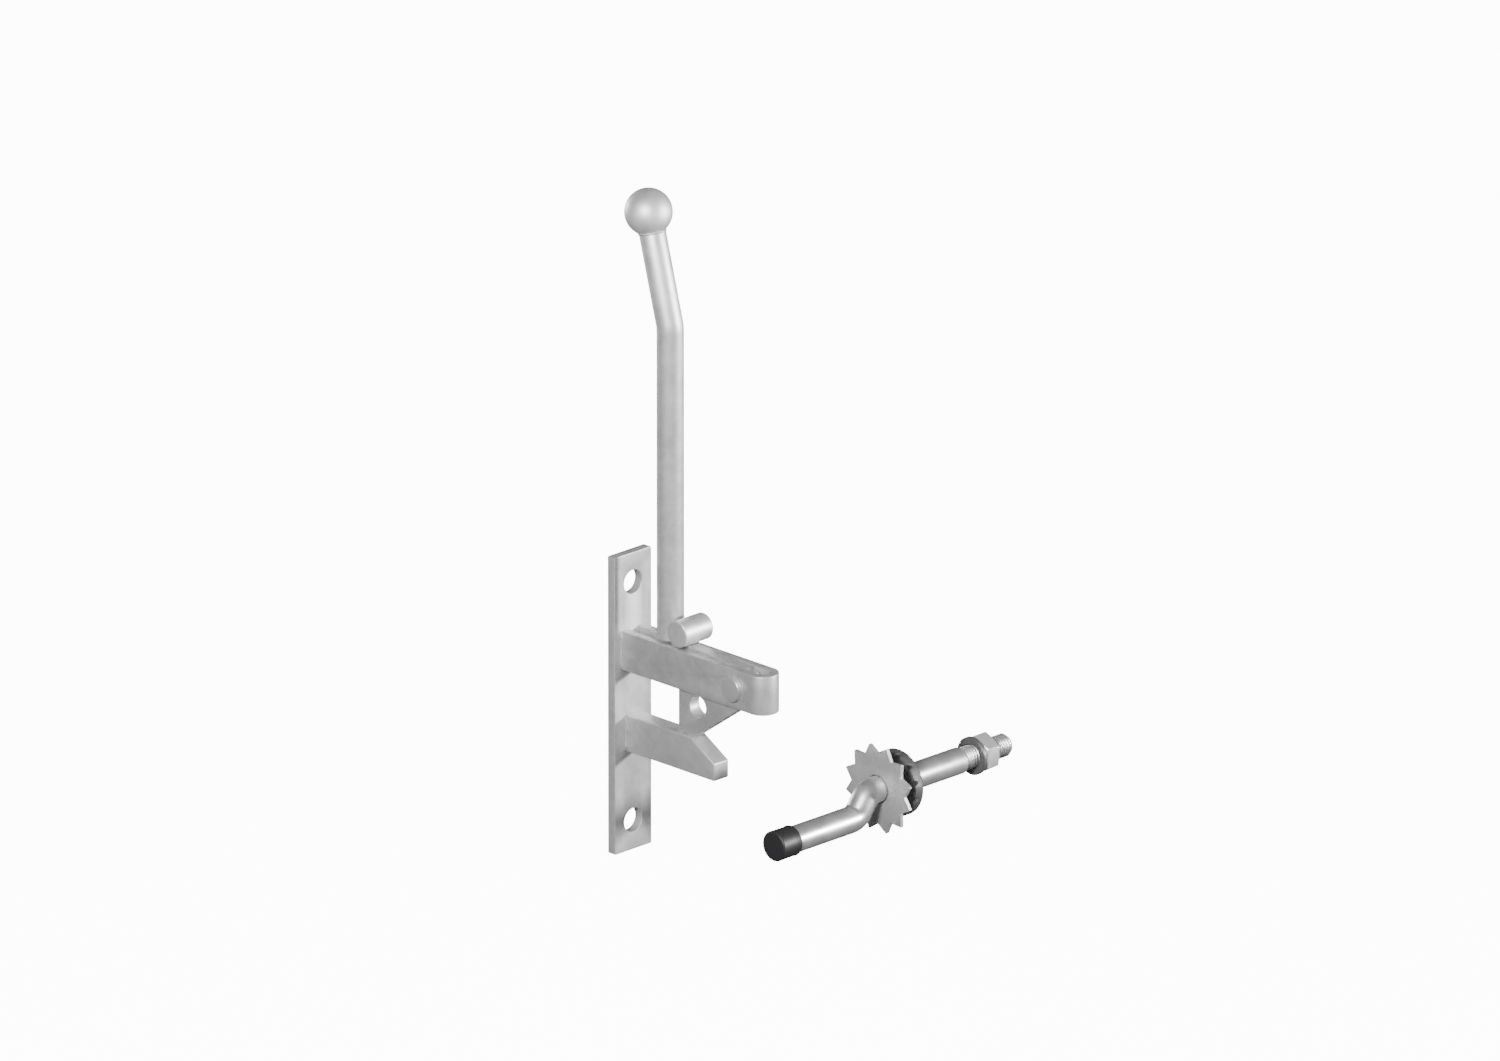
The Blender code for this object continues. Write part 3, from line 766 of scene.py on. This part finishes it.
def front_toothed_plate(mat):
    """A stamped star of sheet steel with blunt points, round the bolt."""
    tip_cut = 0.1 * MM
    tip_r = FRONT_TIP_D / 2 - tip_cut
    root_r = FRONT_ROOT_D / 2
    tip_start = 0.485
    tip_end = 0.515
    step = 2 * math.pi / FRONT_TEETH
    outline = []
    for i in range(FRONT_TEETH):
        base = 2 * math.pi * i / FRONT_TEETH
        for share, radius in ((0.0, root_r), (tip_start, tip_r), (tip_end, tip_r)):
            angle = base + share * step
            outline.append((radius * math.cos(angle), radius * math.sin(angle)))
    middle = (BOLT_X, FRONT_Y + FRONT_T / 2, BOLT_FAR_Z)
    star = slab("front_toothed_plate_steel", outline, FRONT_T,
                Matrix.Translation(middle) @ UPRIGHT)
    hole = cylinder("star_hole", PLATE_BORE_D / 2, 4 * FRONT_T, middle, "Y")
    boolean(star, [hole])
    rounded(star, STAR_EDGE, segments=2)
    finish(star, mat, "gate_side", "toothed_steel", "front_toothed_plate")


def rear_toothed_plate(mat):
    """A cup round the bolt, with teeth cut in the rim that faces the star."""
    outer = REAR_D / 2
    inner = PLATE_BORE_D / 2
    rim = outer - REAR_RIM_T
    back_y = REAR_Y + REAR_DEPTH
    floor_y = back_y - REAR_T
    profile = [(inner, back_y)]
    profile += round_edge(outer, back_y, CUP_CORNER_R, -1, 5)
    profile += [(outer, REAR_Y), (rim, REAR_Y), (rim, floor_y), (inner, floor_y)]
    cup = turned("rear_toothed_plate_steel", profile, BOLT_AXIS, closed=True)
    mouth_share = 0.46
    root_share = 0.12
    depth_share = 0.4
    past_rim = 0.5 * MM
    rim_middle = outer - REAR_RIM_T / 2
    half_mouth = mouth_share * math.pi * rim_middle / REAR_TEETH
    half_root = root_share * half_mouth
    depth = REAR_DEPTH * depth_share
    notch = [(-half_mouth, -past_rim), (half_mouth, -past_rim),
             (half_root, depth), (-half_root, depth)]
    cutters = []
    for i in range(REAR_TEETH):
        place = on_ring(REAR_Y, 2 * math.pi * (i + 0.5) / REAR_TEETH, rim_middle)
        cutters.append(slab(f"notch_{i}", notch, 3 * REAR_RIM_T, place))
    boolean(cup, cutters)
    rounded(cup, CUP_EDGE, segments=2)
    # Painted shade: the cup's material is darkened to stand for the shadow the star plate casts
    # into it
    finish(cup, mat, "rear_plate", "dark_steel", "rear_toothed_plate")


def lock_washer(mat):
    """A spring washer, a flat-sided ring split at a slant."""
    inner = THREAD_BORE_D / 2
    outer = WASHER_D / 2
    far_y = WASHER_Y + WASHER_T
    edge = 0.35 * MM
    profile = [(inner, far_y - edge), (inner + edge, far_y), (outer - edge, far_y),
               (outer, far_y - edge), (outer, WASHER_Y + edge), (outer - edge, WASHER_Y),
               (inner + edge, WASHER_Y), (inner, WASHER_Y + edge)]
    washer = turned("lock_washer_steel", profile, BOLT_AXIS, closed=True)
    half_w = 0.4 * MM
    half_l = 4 * MM
    outline = [(-half_w, -half_l), (half_w, -half_l), (half_w, half_l), (-half_w, half_l)]
    place = on_ring(WASHER_Y + WASHER_T / 2, math.radians(150), (inner + outer) / 2,
                    slant=math.radians(25))
    split = slab("split", outline, 2 * (outer - inner), place)
    boolean(washer, [split])
    # Painted shade: the washer's material is darkened to stand for the shadow the star plate
    # casts on it
    finish(washer, mat, "washer", "washer_steel", "lock_washer")


def hex_nut(mat):
    """A hexagon nut with both faces chamfered and a countersunk bore."""
    face_share = 0.96
    chamfer = math.radians(30)
    corner_r = NUT_AF / math.sqrt(3)
    face_r = NUT_AF / 2 * face_share
    drop = (corner_r - face_r) * math.tan(chamfer)
    near_y = WASHER_Y + WASHER_T + GAP
    far_y = near_y + NUT_T
    nut = cylinder("hex_nut_steel", corner_r, NUT_T, (BOLT_X, near_y + NUT_T / 2, BOLT_FAR_Z),
                   "Y", sides=6)
    hull_r = corner_r + 0.01 * MM
    profile = [(0.0, near_y), (face_r, near_y), (hull_r, near_y + drop),
               (hull_r, far_y - drop), (face_r, far_y), (0.0, far_y)]
    boolean(nut, [turned("nut_chamfer", profile, BOLT_AXIS)], "INTERSECT")
    bore_r = THREAD_BORE_D / 2
    sink = 0.7 * MM
    past = 1 * MM
    mouth_r = bore_r + sink + past
    profile = [(0.0, near_y - past), (mouth_r, near_y - past), (bore_r, near_y + sink),
               (bore_r, far_y - sink), (mouth_r, far_y + past), (0.0, far_y + past)]
    boolean(nut, [turned("nut_bore", profile, BOLT_AXIS)])
    rounded(nut, NUT_EDGE, segments=2, angle=28.0)
    finish(nut, mat, "nut", "nut_steel", "hex_nut")


# ------------------------------------------------------------ camera, light and floor

# The lens and the sensor are in millimetres, and lengths are in metres
AZIMUTH = math.radians(45.0)
ELEVATION = math.radians(20.0)
LENS = 1000.0
SENSOR_WIDTH = 36.0
CAMERA_DISTANCE = 24.23
CAMERA_REACH = 200.0
AIM = Vector((27.8, 74.2, 91.9)) * MM
WORLD_STRENGTH = 0.09
FLOOR_Z = -0.6
FLOOR_SIZE = 60.0
FLOOR_GLOW = 12.0

# Name, direction from the aim point, distance and size in metres, and power in watts
LAMPS = (("key", (1.0, 0.66, 0.20), 2.0, 0.16, 74.0),
         ("front", (0.40, -0.80, 0.42), 4.0, 0.9, 270.0),
         ("back", (-1.0, 0.0, 0.0), 4.0, 0.5, 70.0))


def make_camera():
    towards = Vector((math.sin(AZIMUTH) * math.cos(ELEVATION),
                      -math.cos(AZIMUTH) * math.cos(ELEVATION), math.sin(ELEVATION)))
    data = bpy.data.cameras.new("camera")
    data.lens = LENS
    data.sensor_width = SENSOR_WIDTH
    data.clip_end = CAMERA_REACH
    cam = bpy.data.objects.new("camera", data)
    cam.location = AIM + towards * CAMERA_DISTANCE
    cam.rotation_euler = towards.to_track_quat("Z", "Y").to_euler()
    bpy.context.scene.collection.objects.link(cam)
    bpy.context.scene.camera = cam


def make_lamp(name, direction, distance, size, power):
    """A square lamp that looks at the latch from the given direction."""
    data = bpy.data.lights.new(name, "AREA")
    data.size = size
    data.energy = power
    lamp = bpy.data.objects.new(name, data)
    direction = Vector(direction).normalized()
    lamp.location = AIM + direction * distance
    lamp.rotation_euler = direction.to_track_quat("Z", "Y").to_euler()
    lamp.visible_camera = False
    bpy.context.scene.collection.objects.link(lamp)


def make_world():
    world = bpy.data.worlds.new("studio")
    world.use_nodes = True
    background = world.node_tree.nodes["Background"]
    background.inputs["Color"].default_value = (1.0, 1.0, 1.0, 1.0)
    background.inputs["Strength"].default_value = WORLD_STRENGTH
    bpy.context.scene.world = world


def make_floor():
    """A wide white floor well below the latch, bright enough to read as plain paper."""
    bm = bmesh.new()
    bmesh.ops.create_grid(bm, x_segments=1, y_segments=1, size=FLOOR_SIZE)
    floor = mesh_object("floor", bm)
    floor.location.z = FLOOR_Z
    mat, _, shader = new_material("floor_white")
    shader.inputs["Base Color"].default_value = (0.95, 0.95, 0.95, 1.0)
    shader.inputs["Roughness"].default_value = 0.9
    shader.inputs["Emission Color"].default_value = (1.0, 1.0, 1.0, 1.0)
    shader.inputs["Emission Strength"].default_value = FLOOR_GLOW
    floor.data.materials.append(mat)
    floor.visible_diffuse = False
    floor.visible_glossy = False


def make_studio():
    make_camera()
    make_world()
    make_floor()
    for lamp in LAMPS:
        make_lamp(*lamp)


# ------------------------------------------------------------ assembly

def build():
    plate_zinc = zinc_steel("plate_galvanised", 0.60)
    strap_zinc = zinc_steel("strap_galvanised", 0.56, mottle=0.07)
    arm_zinc = zinc_steel("arm_galvanised", 0.58)
    pin_zinc = zinc_steel("pin_plated", 0.62, roughness=0.36)
    lever_zinc = zinc_steel("lever_galvanised", 0.56)
    rod_zinc = zinc_steel("rod_galvanised", 0.76, roughness=0.5, metallic=0.75)
    ball_zinc = zinc_steel("ball_plated", 0.78, roughness=0.52, metallic=0.7)
    bolt_zinc = zinc_steel("bolt_plated", 0.66, roughness=0.36, metallic=0.85, mottle=0.03)
    star_zinc = zinc_steel("toothed_galvanised", 0.52)
    nut_zinc = zinc_steel("nut_plated", 0.64, roughness=0.38, mottle=0.03)
    weld_zinc = zinc_steel("weld_galvanised", 0.55, roughness=0.5, mottle=0.08, grain=0.5)
    # Painted shade: the rear cup and the spring washer are darkened to stand for the shadow the
    # star plate casts on them
    dark_steel = painted_shade_finish("rear_plate_painted_shade", 0.085)
    painted_shade_washer = painted_shade_finish("washer_painted_shade", 0.10)
    cap_black = black_plastic("cap_black")

    back_plate(plate_zinc)
    upper_strap(strap_zinc)
    lower_arm(arm_zinc)
    pivot_pin(pin_zinc)
    lever_plate(lever_zinc)
    cross_bar(rod_zinc)
    handle_rod(rod_zinc)
    ball_knob(ball_zinc)
    latch_welds(weld_zinc)
    lever_welds(weld_zinc)
    ball_weld(weld_zinc)
    striker_bar(bolt_zinc)
    bolt_thread(bolt_zinc)
    end_cap(cap_black)
    front_toothed_plate(star_zinc)
    rear_toothed_plate(dark_steel)
    lock_washer(painted_shade_washer)
    hex_nut(nut_zinc)


build()
make_studio()
